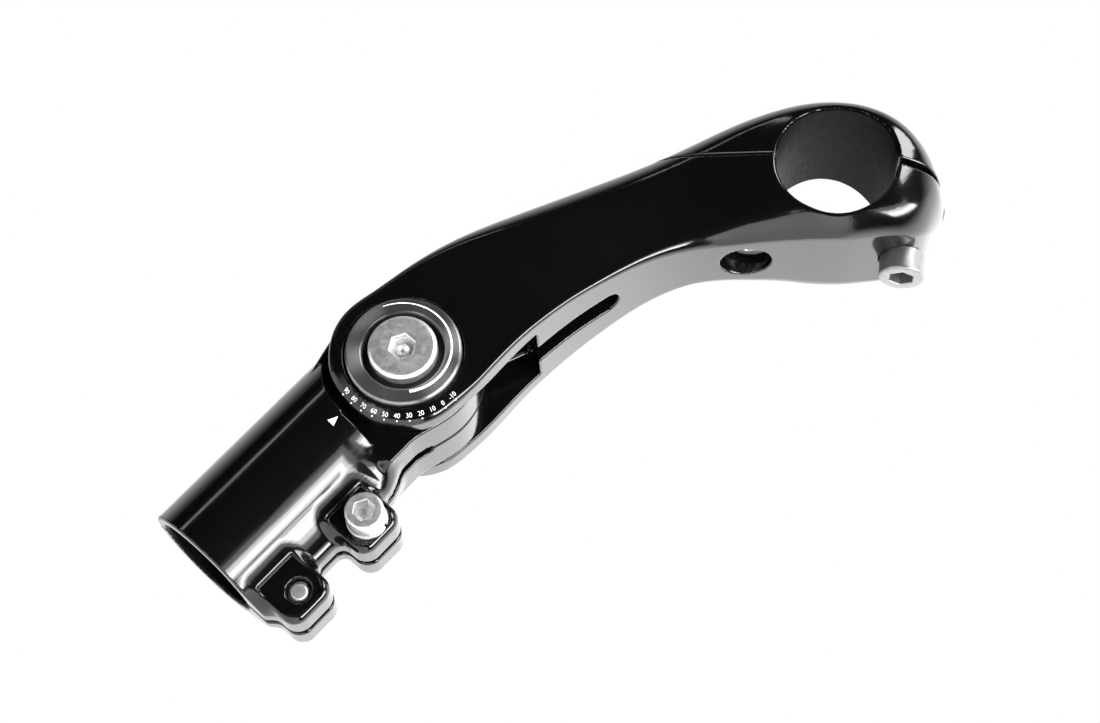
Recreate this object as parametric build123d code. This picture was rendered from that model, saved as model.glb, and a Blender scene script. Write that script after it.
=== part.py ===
from build123d import *
import os
from math import cos, pi, radians, sin

# Adjustable handlebar stem. The origin is the centre of the steerer clamp's lower face, +Z runs up
# the steerer bore, +X is forwards, the way the arm folds, and +Y is the rider's left. Millimetres.

# Steerer clamp: a tube split at the front, with two pairs of clamp ears
STEERER_RADIUS = 14.3
TUBE_RADIUS = 17.75
BORE_DEPTH = 44.0
SLIT = 2.0
SLIT_TOP = 62.0
EAR_BOLT_X = 24.9
EAR_BOLT_HEIGHTS = (10.0, 34.5)
EAR_FRONT = 31.6
EAR_HALF_HEIGHT = 6.6
EAR_HALF_WIDTH = 8.7
EAR_CORNER = 4.5
FLANGE_FRONT = 22.0
FLANGE_HALF_WIDTH = 7.0
FLANGE_TOP = 49.0

# Pivot: a knuckle on the steerer clamp between the two ears of the arm
PIVOT_X = 3.5
PIVOT_Z = 71.5
KNUCKLE_RADIUS = 19.3
KNUCKLE_HALF_WIDTH = 11.85
NECK_BACK = -15.5
NECK_FRONT = 19.6
NECK_FOOT = 47.0
SHOULDER_CLEARANCE = 21.4
SHOULDER_HEIGHT = 48.4
TUBE_TOP = 57.0
FORK_HALF_GAP = 12.15
EAR_RADIUS = 19.7
EAR_OUTER_Y = 19.0

# Arm: from the pivot to the handlebar, leaning forwards at rest
ARM_LEAN = 22.5
ARM_LENGTH = 125.5
BAR_RADIUS = 15.9
CLAMP_HALF_WIDTH = 22.0
SPLIT_ANGLE = 33.6
SPLIT_GAP = 0.3
FRONT_GAP = 1.7
WIDE_SLOT_END = 33.5
NARROW_SLOT_END = 60.0
NARROW_SLOT_HALF_WIDTH = 4.0

# Toothed rings, bolts, washers and sleeve
RING_RADIUS = 15.0
RING_BODY_RADIUS = 13.4
RING_FACE_Y = 20.0
RING_STEP_Y = 16.0
RING_COUNTERBORE_RADIUS = 10.6
RING_COUNTERBORE_Y = 17.2
TOOTH_INNER_RADIUS = 8.3
TOOTH_DEPTH = 1.2
TEETH = 36
KNUCKLE_RECESS_Y = 8.5
SLEEVE_RADIUS = 6.5
SEAL_INNER_RADIUS = 15.5
SEAL_OUTER_RADIUS = 17.0
SEAL_DEPTH = 1.5
PIVOT_BOLT_RADIUS = 4.0
PIVOT_HEAD_RADIUS = 8.9
PIVOT_HEAD_FACE_Y = 22.3
PIVOT_WASHER = 1.0
PIVOT_BOLT_END_Y = 19.0
M6_RADIUS = 3.0
M6_HEAD_RADIUS = 5.0
M6_HEAD_HEIGHT = 6.0
M6_LENGTH = 18.0
SPRING_WASHER = 1.4
BAR_BOLT_RADIUS = 3.5
BAR_BOLT_HEAD_RADIUS = 6.1
BAR_BOLT_HEAD_HEIGHT = 7.0
BAR_BOLT_OFFSET = 20.8
BAR_BOLT_FRONT_SEAT = 16.2
BAR_BOLT_REAR_SEAT = 10.8
BAR_BOLT_TOP = 11.0
FIT = 0.05

PIVOT = Pos(PIVOT_X, 0, PIVOT_Z)
ARM_REST = PIVOT * Rot(0, ARM_LEAN, 0)
NEAR, FAR = -1, 1


def disc(radius, y_from, y_to, side=FAR):
    """Round plate about the Y axis between two distances from the middle, on one side."""
    start = Plane(origin=(0, side * y_from, 0), z_dir=(0, side, 0))
    return extrude(start * Circle(radius), y_to - y_from)


def ring(outer_radius, inner_radius, y_from, y_to, side=FAR):
    return disc(outer_radius, y_from, y_to, side) - disc(inner_radius, y_from - 1, y_to + 1, side)


def socket_bolt(head_radius, head_height, radius, length, key, drill):
    """Socket head bolt with its seat at Z = 0, the head above and the shank below."""
    head = extrude(Circle(head_radius), head_height)
    head = chamfer(head.edges().sort_by(Axis.Z)[-1], 0.6)
    shank = extrude(Circle(radius), -length)
    shank = chamfer(shank.edges().sort_by(Axis.Z)[0], 0.6)
    depth = 0.6 * head_height
    hexagon = RegularPolygon(radius=key / 2, side_count=6, major_radius=False)
    socket = extrude(Pos(0, 0, head_height - depth) * hexagon, depth + 1)
    below = (Align.CENTER, Align.CENTER, Align.MAX)
    point = Pos(0, 0, head_height - depth) * Cone(0, drill, drill / 2, align=below)
    return head + shank - socket - point


# ---- steerer clamp ----

def knuckle_and_neck():
    knuckle = PIVOT * disc(KNUCKLE_RADIUS, -KNUCKLE_HALF_WIDTH, KNUCKLE_HALF_WIDTH)
    neck = Pos((NECK_BACK + NECK_FRONT) / 2, 0, (NECK_FOOT + PIVOT_Z) / 2) * Box(
        NECK_FRONT - NECK_BACK, 2 * KNUCKLE_HALF_WIDTH, PIVOT_Z - NECK_FOOT
    )
    return knuckle + neck


def clamp_tube():
    """Tube whose top is cut away beside the neck, so that the arm's ears can turn there."""
    tube = extrude(Circle(TUBE_RADIUS), TUBE_TOP)
    reach = 30.0
    for side in (NEAR, FAR):
        tube -= PIVOT * disc(SHOULDER_CLEARANCE, KNUCKLE_HALF_WIDTH, reach, side)
        middle_y = side * (KNUCKLE_HALF_WIDTH + reach) / 2
        tube -= Pos(PIVOT_X + reach / 2, middle_y, SHOULDER_HEIGHT + reach / 2) * Box(
            reach, reach - KNUCKLE_HALF_WIDTH, reach
        )
    return tube


def clamp_ears():
    flange = Box(FLANGE_FRONT, 2 * FLANGE_HALF_WIDTH, FLANGE_TOP)
    flange = Pos(FLANGE_FRONT / 2, 0, FLANGE_TOP / 2) * flange
    flange = fillet(flange.edges().filter_by(Axis.Z).sort_by(Axis.X)[-2:], 3)
    back = 8.0
    outline = RectangleRounded(EAR_FRONT - back, 2 * EAR_HALF_HEIGHT, EAR_CORNER)
    ears = flange
    for height in EAR_BOLT_HEIGHTS:
        face = Plane.XZ * Pos((back + EAR_FRONT) / 2, height) * outline
        ears += extrude(face, EAR_HALF_WIDTH, both=True)
    return ears


def bolt_side(height):
    """The lower bolt goes in from the far side and the upper one from the near side."""
    return FAR if height == EAR_BOLT_HEIGHTS[0] else NEAR


def clamp_slit():
    """Slit from the bore to the front, which goes on up the front of the neck as a groove."""
    below = 1.0
    low = Box(EAR_FRONT + 2, SLIT, BORE_DEPTH + below)
    low = Pos(EAR_FRONT / 2 + 1, 0, (BORE_DEPTH - below) / 2) * low
    groove_back = 9.0
    groove_bottom = BORE_DEPTH - 6
    outline = RectangleRounded(EAR_FRONT + 4 - groove_back, SLIT_TOP - groove_bottom, 2.5)
    middle = Pos((groove_back + EAR_FRONT + 4) / 2, (SLIT_TOP + groove_bottom) / 2)
    groove = extrude(Plane.XZ * middle * outline, SLIT / 2, both=True)
    return low + groove


def steerer_clamp():
    body = clamp_tube() + knuckle_and_neck() + clamp_ears()
    body -= extrude(Circle(STEERER_RADIUS), BORE_DEPTH)
    body -= clamp_slit()
    for height in EAR_BOLT_HEIGHTS:
        side = bolt_side(height)
        hole = disc(M6_RADIUS + 0.3, 0, 12, side) + disc(M6_RADIUS + FIT, 0, 12, -side)
        body -= Pos(EAR_BOLT_X, 0, height) * hole
    body -= PIVOT * disc(SLEEVE_RADIUS, -12, 12)
    for side in (NEAR, FAR):
        body -= PIVOT * disc(RING_BODY_RADIUS, KNUCKLE_RECESS_Y, 12, side)
        groove_floor = KNUCKLE_HALF_WIDTH - SEAL_DEPTH
        body -= PIVOT * ring(SEAL_OUTER_RADIUS, SEAL_INNER_RADIUS, groove_floor, 12, side)
    return body


def clamp_bolt(height):
    side = bolt_side(height)
    seat_y = side * (EAR_HALF_WIDTH + SPRING_WASHER)
    seat = Plane(origin=(EAR_BOLT_X, seat_y, height), z_dir=(0, side, 0))
    return seat * socket_bolt(M6_HEAD_RADIUS, M6_HEAD_HEIGHT, M6_RADIUS, M6_LENGTH, 5, 1.5)


def clamp_washer(height):
    """Spring washer, cut through at one place."""
    side = bolt_side(height)
    top = EAR_HALF_WIDTH + SPRING_WASHER
    washer = ring(M6_HEAD_RADIUS + 0.3, M6_RADIUS + 0.1, EAR_HALF_WIDTH, top, side)
    washer -= Pos(4, 0, 0) * Rot(0, 0, 20) * Box(8, 60, 0.6)
    return Pos(EAR_BOLT_X, 0, height) * washer


# ---- pivot ----

def tooth_gap(tip_y, root_y, side):
    """Wedge between two face teeth, shallower towards the pivot axis."""
    slices = []
    for radius in (TOOTH_INNER_RADIUS - 1, RING_BODY_RADIUS + 1):
        half = pi * radius / TEETH
        depth = (root_y - tip_y) * radius / RING_BODY_RADIUS
        open_y = -side * (tip_y - 0.001)
        corners = [(-half, open_y), (half, open_y), (0, -side * (tip_y + depth))]
        place = Plane(origin=(radius, 0, 0), x_dir=(0, 0, 1), z_dir=(1, 0, 0))
        slices.append(place * make_face(Polyline(*corners, close=True)))
    return loft(slices)


def toothed(blank, tip_y, root_y, side):
    gap = tooth_gap(tip_y, root_y, side)
    return blank - [Rot(0, i * 360 / TEETH, 0) * gap for i in range(TEETH)]


def knuckle_ring(side):
    blank = ring(RING_BODY_RADIUS, TOOTH_INNER_RADIUS, KNUCKLE_RECESS_Y, KNUCKLE_HALF_WIDTH, side)
    return PIVOT * toothed(blank, KNUCKLE_HALF_WIDTH, KNUCKLE_HALF_WIDTH - TOOTH_DEPTH, side)


def ear_ring(side):
    """Stepped ring in an ear of the arm, with face teeth towards the knuckle."""
    plate = disc(RING_BODY_RADIUS, FORK_HALF_GAP, RING_STEP_Y, side)
    plate += disc(RING_RADIUS, RING_STEP_Y, RING_FACE_Y, side)
    plate -= disc(RING_COUNTERBORE_RADIUS, RING_COUNTERBORE_Y, RING_FACE_Y + 1, side)
    plate -= disc(TOOTH_INNER_RADIUS, FORK_HALF_GAP - 1, FORK_HALF_GAP + TOOTH_DEPTH, side)
    plate -= disc(PIVOT_BOLT_RADIUS + 0.1, 0, 30, side)
    return ARM_REST * toothed(plate, FORK_HALF_GAP, FORK_HALF_GAP + TOOTH_DEPTH, side)


def pivot_sleeve():
    end = KNUCKLE_HALF_WIDTH - 0.35
    return PIVOT * ring(SLEEVE_RADIUS, PIVOT_BOLT_RADIUS + FIT, -end, end)


def dust_seal(side):
    floor = KNUCKLE_HALF_WIDTH - SEAL_DEPTH
    top = floor + SEAL_DEPTH + 0.1
    return PIVOT * ring(SEAL_OUTER_RADIUS - FIT, SEAL_INNER_RADIUS + FIT, floor + FIT, top, side)


def pivot_washer(side):
    outer = RING_COUNTERBORE_RADIUS - 0.2
    inner = PIVOT_BOLT_RADIUS + 0.1
    return ARM_REST * ring(outer, inner, RING_COUNTERBORE_Y, RING_COUNTERBORE_Y + PIVOT_WASHER, side)


def pivot_bolt():
    seat_y = RING_COUNTERBORE_Y + PIVOT_WASHER
    seat = Plane(origin=(0, -seat_y, 0), z_dir=(0, -1, 0))
    head_height = PIVOT_HEAD_FACE_Y - seat_y
    length = seat_y + PIVOT_BOLT_END_Y
    bolt = socket_bolt(PIVOT_HEAD_RADIUS, head_height, PIVOT_BOLT_RADIUS, length, 6, 1.5)
    return ARM_REST * (seat * bolt)


def pivot_nut():
    """Round nut with two spanner holes in its face."""
    seat_y = RING_COUNTERBORE_Y + PIVOT_WASHER
    nut = disc(PIVOT_HEAD_RADIUS, seat_y, PIVOT_HEAD_FACE_Y)
    nut = chamfer(nut.edges().sort_by(Axis.Y)[-1], 0.6)
    nut -= disc(PIVOT_BOLT_RADIUS + FIT, 0, 30)
    for x in (-6.4, 6.4):
        nut -= Pos(x, 0, 0) * disc(1.3, PIVOT_HEAD_FACE_Y - 2.5, 30)
    return ARM_REST * nut


# ---- arm and cap, drawn with the pivot at the origin and the handlebar straight above on Z ----

def arm_station(across, along, bend, half_width, back, belly, back_power, belly_power):
    """Section across the arm: two half ovals, the back's and the belly's, of their own squareness."""
    points = []
    count = 24
    for i in range(count):
        turn = 2 * pi * i / count
        c, s = cos(turn), sin(turn)
        depth, power = (back, back_power) if s > 0 else (belly, belly_power)
        x = half_width * abs(c) ** (2 / power) * (1 if c > 0 else -1)
        y = depth * abs(s) ** (2 / power) * (1 if s > 0 else -1)
        points.append((x, y))
    angle = radians(bend)
    plane = Plane(origin=(across, 0, along), x_dir=(0, 1, 0), z_dir=(sin(angle), 0, cos(angle)))
    return plane * make_face(Spline(*points, periodic=True))


def beside_bar(forward, back, belly, half_width):
    """Section of the bar clamp square to the split plane, at a distance forward of the bar's axis."""
    angle = radians(SPLIT_ANGLE)
    middle = (back - belly) / 2
    across = forward * sin(angle) - middle * cos(angle)
    along = ARM_LENGTH + forward * cos(angle) + middle * sin(angle)
    half = (back + belly) / 2
    return arm_station(across, along, SPLIT_ANGLE, half_width, half, half, 2.1, 3.0)


def arm_and_cap():
    """One long body from the pivot to the nose, before the cap is split off."""
    sections = [
        arm_station(-0.3, 0, 0, 19.0, 19.6, 19.6, 5.0, 5.0),
        arm_station(-3.5, 14, 0, 18.7, 20.0, 20.0, 4.0, 5.0),
        arm_station(-8.5, 30, 0, 17.3, 18.0, 18.0, 3.2, 5.0),
        arm_station(-12.0, 47, 0, 15.8, 16.1, 16.1, 2.8, 5.0),
        arm_station(-13.5, 64, 0, 14.0, 15.1, 15.1, 2.5, 4.5),
        arm_station(-13.0, 80, 2, 12.9, 15.3, 15.4, 2.4, 4.0),
        arm_station(-10.5, 95, 12, 12.9, 17.5, 16.5, 2.3, 3.6),
        arm_station(-6.0, 108, 24, 15.8, 20.3, 17.4, 2.2, 3.2),
        beside_bar(-8, 20.8, 21.2, 20.6),
        beside_bar(4, 20.6, 21.0, CLAMP_HALF_WIDTH),
        beside_bar(15, 15.6, 18.6, 21.4),
        beside_bar(22.5, 9.8, 16.2, 18.6),
        beside_bar(27.5, 4.4, 12.2, 14.2),
        beside_bar(30.5, -0.6, 7.2, 8.0),
    ]
    return loft(sections)


def split_frame():
    """Plane at the bar's axis whose Z points from the arm to the cap and whose X points forwards."""
    angle = radians(SPLIT_ANGLE)
    forward = (sin(angle), 0, cos(angle))
    return Plane(origin=(0, 0, ARM_LENGTH), x_dir=forward, z_dir=(-cos(angle), 0, sin(angle)))


def above_split(gap):
    size = 160.0
    upper = Box(size, size, size, align=(Align.CENTER, Align.CENTER, Align.MIN))
    return split_frame() * Pos(0, 0, gap) * upper


def bar_bore():
    return Pos(0, 0, ARM_LENGTH) * disc(BAR_RADIUS, -40, 40)


def bar_bolt_hole(forward, seat, top_radius):
    head_room = BAR_BOLT_HEAD_RADIUS + 0.5
    pocket = Pos(forward, 0, -seat) * extrude(Circle(head_room), -40)
    hole = Pos(forward, 0, -seat) * extrude(Circle(top_radius), seat + BAR_BOLT_TOP + 1)
    return split_frame() * (pocket + hole)


def ears_of_arm():
    ears = []
    for side in (NEAR, FAR):
        ear = disc(EAR_RADIUS, FORK_HALF_GAP, EAR_OUTER_Y, side)
        rim = ear.edges().filter_by(GeomType.CIRCLE).sort_by(Axis.Y)[-1 if side == FAR else 0]
        ears.append(fillet(rim, 2.5))
    return ears


def fork_gap():
    """Room between the ears for the knuckle, the neck as it comes round, and the narrow slot above."""
    gap = disc(KNUCKLE_RADIUS + 0.9, -FORK_HALF_GAP, FORK_HALF_GAP)
    floor = 1.0
    depth = 40.0
    gap += Pos(floor + depth / 2, 0, WIDE_SLOT_END / 2) * Box(depth, 2 * FORK_HALF_GAP, WIDE_SLOT_END)
    narrow_floor = -8.0
    start = 10.0
    outline = Plane.YZ * Pos(0, (start + NARROW_SLOT_END) / 2) * SlotOverall(
        NARROW_SLOT_END - start, 2 * NARROW_SLOT_HALF_WIDTH, rotation=90
    )
    gap += Pos(narrow_floor, 0, 0) * extrude(outline, depth)
    return gap


def arm():
    body = arm_and_cap() + ears_of_arm()
    body -= above_split(0)
    body -= bar_bore()
    body -= fork_gap()
    for side in (NEAR, FAR):
        body -= disc(RING_BODY_RADIUS + FIT, 0, RING_STEP_Y + 0.01, side)
        body -= disc(RING_RADIUS + 0.4, RING_STEP_Y, 30, side)
    body -= bar_bolt_hole(BAR_BOLT_OFFSET, BAR_BOLT_FRONT_SEAT - 2.2, BAR_BOLT_RADIUS + 0.1)
    body -= bar_bolt_hole(-BAR_BOLT_OFFSET, BAR_BOLT_REAR_SEAT, BAR_BOLT_RADIUS + 0.1)
    return ARM_REST * body


def bar_cap():
    """Lid over the bar, whose joint with the arm is wider in front of the bar."""
    body = arm_and_cap() & above_split(SPLIT_GAP)
    body -= split_frame() * Pos(0, 0, SPLIT_GAP) * Box(
        80, 80, 2 * (FRONT_GAP - SPLIT_GAP), align=(Align.MIN, Align.CENTER, Align.CENTER)
    )
    body -= bar_bore()
    for forward in (-BAR_BOLT_OFFSET, BAR_BOLT_OFFSET):
        hole = Pos(forward, 0, 0) * extrude(Circle(BAR_BOLT_RADIUS + FIT), bolt_top(forward) + 0.5)
        body -= split_frame() * hole
    return ARM_REST * body


def bolt_top(forward):
    """The rear bolt reaches further into the cap, which is thicker there."""
    return BAR_BOLT_TOP if forward < 0 else 0.6 * BAR_BOLT_TOP


def bar_bolt(forward, seat):
    length = seat + bolt_top(forward)
    bolt = socket_bolt(BAR_BOLT_HEAD_RADIUS, BAR_BOLT_HEAD_HEIGHT, BAR_BOLT_RADIUS, length, 6, 1.5)
    place = split_frame() * Pos(forward, 0, -seat) * Rot(180, 0, 0)
    return ARM_REST * place * bolt


parts = {
    "steerer_clamp": steerer_clamp(),
    "clamp_bolt_lower": clamp_bolt(EAR_BOLT_HEIGHTS[0]),
    "clamp_bolt_upper": clamp_bolt(EAR_BOLT_HEIGHTS[1]),
    "clamp_washer_lower": clamp_washer(EAR_BOLT_HEIGHTS[0]),
    "clamp_washer_upper": clamp_washer(EAR_BOLT_HEIGHTS[1]),
    "pivot_sleeve": pivot_sleeve(),
    "knuckle_ring_near": knuckle_ring(NEAR),
    "knuckle_ring_far": knuckle_ring(FAR),
    "dust_seal_near": dust_seal(NEAR),
    "dust_seal_far": dust_seal(FAR),
    "arm": arm(),
    "angle_ring": ear_ring(NEAR),
    "far_ring": ear_ring(FAR),
    "pivot_washer_near": pivot_washer(NEAR),
    "pivot_washer_far": pivot_washer(FAR),
    "pivot_bolt": pivot_bolt(),
    "pivot_nut": pivot_nut(),
    "bar_bolt_front": bar_bolt(BAR_BOLT_OFFSET, BAR_BOLT_FRONT_SEAT),
    "bar_bolt_rear": bar_bolt(-BAR_BOLT_OFFSET, BAR_BOLT_REAR_SEAT),
    "bar_cap": bar_cap(),
}

os.makedirs("parts", exist_ok=True)
for name, shape in parts.items():
    export_step(shape, f"parts/{name}.step")
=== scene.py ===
import math

import bmesh
import bpy
import numpy as np
from mathutils import Matrix, Vector


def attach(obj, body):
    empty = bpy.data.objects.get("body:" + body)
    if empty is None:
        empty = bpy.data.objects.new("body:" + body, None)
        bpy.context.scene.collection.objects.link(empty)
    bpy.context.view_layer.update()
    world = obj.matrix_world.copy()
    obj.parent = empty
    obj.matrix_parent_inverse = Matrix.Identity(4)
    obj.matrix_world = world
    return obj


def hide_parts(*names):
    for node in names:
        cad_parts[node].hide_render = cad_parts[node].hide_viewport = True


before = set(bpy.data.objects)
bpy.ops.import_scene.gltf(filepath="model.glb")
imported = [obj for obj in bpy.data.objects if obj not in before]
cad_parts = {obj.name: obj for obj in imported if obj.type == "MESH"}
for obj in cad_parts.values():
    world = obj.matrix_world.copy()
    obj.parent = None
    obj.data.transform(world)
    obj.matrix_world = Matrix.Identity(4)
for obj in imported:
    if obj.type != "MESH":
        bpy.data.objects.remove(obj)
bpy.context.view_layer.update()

# ---- Camera ----
# A short telephoto looking up at the stem's right side, rolled so that the stem lies from the
# lower left to the upper right.
camera = bpy.data.objects.new("camera", bpy.data.cameras.new("camera"))
to_the_right = Vector((0.7427, 0.0382, 0.6685))
to_the_top = Vector((-0.5944, -0.4221, 0.6845))
turned_view = Matrix((to_the_right, to_the_top, to_the_right.cross(to_the_top))).transposed().to_4x4()
camera.matrix_world = Matrix.Translation((0.18999, -0.47835, -0.05351)) @ turned_view
camera.data.lens = 65.45
camera.data.sensor_width = 36.0
camera.data.clip_start = 0.01
bpy.context.scene.collection.objects.link(camera)
bpy.context.scene.camera = camera


# ---- Studio ----
# A white room behind the stem and a dark one in front of it, so that the gloss stays black where
# it faces the camera. Soft boxes at the right draw the broad highlight along the tube.
def add(tree, kind, links=(), **settings):
    """One node, with its settings or its inputs' values, and the outputs joined to its inputs."""
    node = tree.nodes.new(kind)
    for key, value in settings.items():
        if hasattr(node, key):
            setattr(node, key, value)
        else:
            node.inputs[key.replace("_", " ")].default_value = value
    for socket, source in dict(links).items():
        tree.links.new(source, node.inputs[socket])
    return node


room = bpy.data.worlds.new("room")
bpy.context.scene.world = room
room.use_nodes = True
tree = room.node_tree
tree.nodes.clear()
way = add(tree, "ShaderNodeTexCoord")
apart = add(tree, "ShaderNodeSeparateXYZ", {"Vector": way.outputs["Generated"]})
# The white starts behind the stem and reaches forwards overhead, by 0.3 of a direction's height.
height_share = 0.3
heights = {0: apart.outputs["Z"], 2: apart.outputs["Y"]}
backwards = add(tree, "ShaderNodeMath", heights, operation="MULTIPLY_ADD")
backwards.inputs[1].default_value = height_share
behind = add(tree, "ShaderNodeMapRange", {"Value": backwards.outputs[0]}, From_Min=-1.0, From_Max=1.0)
wall = add(tree, "ShaderNodeValToRGB", {"Fac": behind.outputs[0]})
stops = wall.color_ramp.elements
stops[0].position, stops[0].color = 0.46, (0.006, 0.006, 0.006, 1)
stops[1].position, stops[1].color = 0.68, (1, 1, 1, 1)
brightness = add(
    tree, "ShaderNodeMapRange", {"Value": apart.outputs["X"]},
    From_Min=-0.4, From_Max=0.25, To_Min=1.15, To_Max=3.1,
)
lit = add(tree, "ShaderNodeBackground", {"Color": wall.outputs["Color"], "Strength": brightness.outputs[0]})
white = add(tree, "ShaderNodeBackground", Color=(1, 1, 1, 1), Strength=1.0)
looked_at = add(tree, "ShaderNodeLightPath")
choice = {0: looked_at.outputs["Is Camera Ray"], 1: lit.outputs[0], 2: white.outputs[0]}
mixed = add(tree, "ShaderNodeMixShader", choice)
add(tree, "ShaderNodeOutputWorld", {"Surface": mixed.outputs[0]})


def soft_box(name, azimuth, elevation, distance, width, height, watts):
    """Lamp on a sphere round the stem, its width level; azimuth 0 is -Y and 90 is +X."""
    lamp = bpy.data.lights.new(name, "AREA")
    lamp.shape = "RECTANGLE"
    lamp.size, lamp.size_y, lamp.energy = width, height, watts
    box = bpy.data.objects.new(name, lamp)
    a, e = math.radians(azimuth), math.radians(elevation)
    out = Vector((math.sin(a) * math.cos(e), -math.cos(a) * math.cos(e), math.sin(e)))
    box.location = Vector((0.03, 0, 0.09)) + out * distance
    box.rotation_euler = out.to_track_quat("Z", "Y").to_euler()
    bpy.context.scene.collection.objects.link(box)


soft_box("soft_box_right", 56, 12, 1.3, 0.46, 1.3, 24)
soft_box("soft_box_right_inner", 58, 12, 1.25, 0.2, 1.2, 9)
soft_box("soft_box_right_outer", 52, 12, 1.35, 0.8, 1.3, 8)
soft_box("strip_left", -57, 14, 1.3, 0.07, 1.1, 1.0)
soft_box("front_fill_above", 8, 52, 1.5, 0.7, 0.5, 16)
soft_box("front_fill_below", -12, -38, 1.5, 0.6, 0.4, 14)
bpy.context.scene.view_settings.view_transform = "Standard"


def linear(hex_colour):
    """sRGB hex to the linear colour that a node takes."""
    levels = [int(hex_colour[i:i + 2], 16) / 255 for i in (1, 3, 5)]
    return (*[c / 12.92 if c <= 0.04045 else ((c + 0.055) / 1.055) ** 2.4 for c in levels], 1.0)


def finish(name):
    """New material with an empty tree, and its Object coordinates."""
    made = bpy.data.materials.new(name)
    made.use_nodes = True
    made.node_tree.nodes.clear()
    place = add(made.node_tree, "ShaderNodeTexCoord")
    return made, made.node_tree, place.outputs["Object"]


def shade(tree, links, **settings):
    """Principled shader joined to the material's output."""
    shader = add(tree, "ShaderNodeBsdfPrincipled", links, **settings)
    add(tree, "ShaderNodeOutputMaterial", {"Surface": shader.outputs[0]})


paper, tree, place = finish("matt_white_paper")
grain = add(tree, "ShaderNodeTexNoise", {"Vector": place}, Scale=400.0)
tone = add(tree, "ShaderNodeMix", {"Factor": grain.outputs["Fac"]}, data_type="RGBA")
tone.inputs[6].default_value, tone.inputs[7].default_value = linear("#e4e4e2"), linear("#ececea")
shade(tree, {"Base Color": tone.outputs[2]}, Roughness=0.9)
half_floor = 0.7
floor_level = -0.35
corners = [(x * half_floor, y * half_floor, floor_level) for x, y in ((-1, -1), (1, -1), (1, 1), (-1, 1))]
floor_mesh = bpy.data.meshes.new("floor")
floor_mesh.from_pydata(corners, [], [(0, 1, 2, 3)])
floor_mesh.materials.append(paper)
floor = bpy.data.objects.new("floor", floor_mesh)
bpy.context.scene.collection.objects.link(floor)


# ---- Steerer clamp ----
# One aluminium forging: a tube that grips the steerer, a neck and a round knuckle for the pivot,
# and two pairs of ears drawn together by bolts. It is polished and then anodised gloss black.
# Its shape is worked out as a distance in millimetres, and the skin is laid where that is 0.
def join(a, b, radius):
    """Two bodies as one, with a fillet between them."""
    fillet = np.hypot(np.maximum(radius - a, 0), np.maximum(radius - b, 0))
    return np.maximum(radius, np.minimum(a, b)) - fillet


def common(a, b, radius):
    """What two bodies share, its edge rounded."""
    rounding = np.hypot(np.maximum(radius + a, 0), np.maximum(radius + b, 0))
    return np.minimum(-radius, np.maximum(a, b)) + rounding


def cut(a, b, radius):
    """A body with another cut out of it, the edge of the cut rounded."""
    return common(a, -b, radius)


def block(across, up, half_across, half_up, corner):
    """Distance to a rectangle with round corners, from its middle."""
    a = np.abs(across) - half_across + corner
    b = np.abs(up) - half_up + corner
    return np.hypot(np.maximum(a, 0), np.maximum(b, 0)) + np.minimum(np.maximum(a, b), 0) - corner


def ease(value, start, end):
    """From 0 to 1, smoothly, as a value goes from start to end."""
    t = np.clip((value - start) / (end - start), 0, 1)
    return t * t * (3 - 2 * t)


def slope(distance, points, step):
    """Direction in which a distance grows, at each point."""
    found = np.empty_like(points)
    for axis in range(3):
        ahead, back = points.copy(), points.copy()
        ahead[:, axis] += step
        back[:, axis] -= step
        found[:, axis] = (distance(*ahead.T) - distance(*back.T)) / (2 * step)
    return found


def unmoved(points):
    """For a shape whose own frame is the stem's."""
    return points


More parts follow.
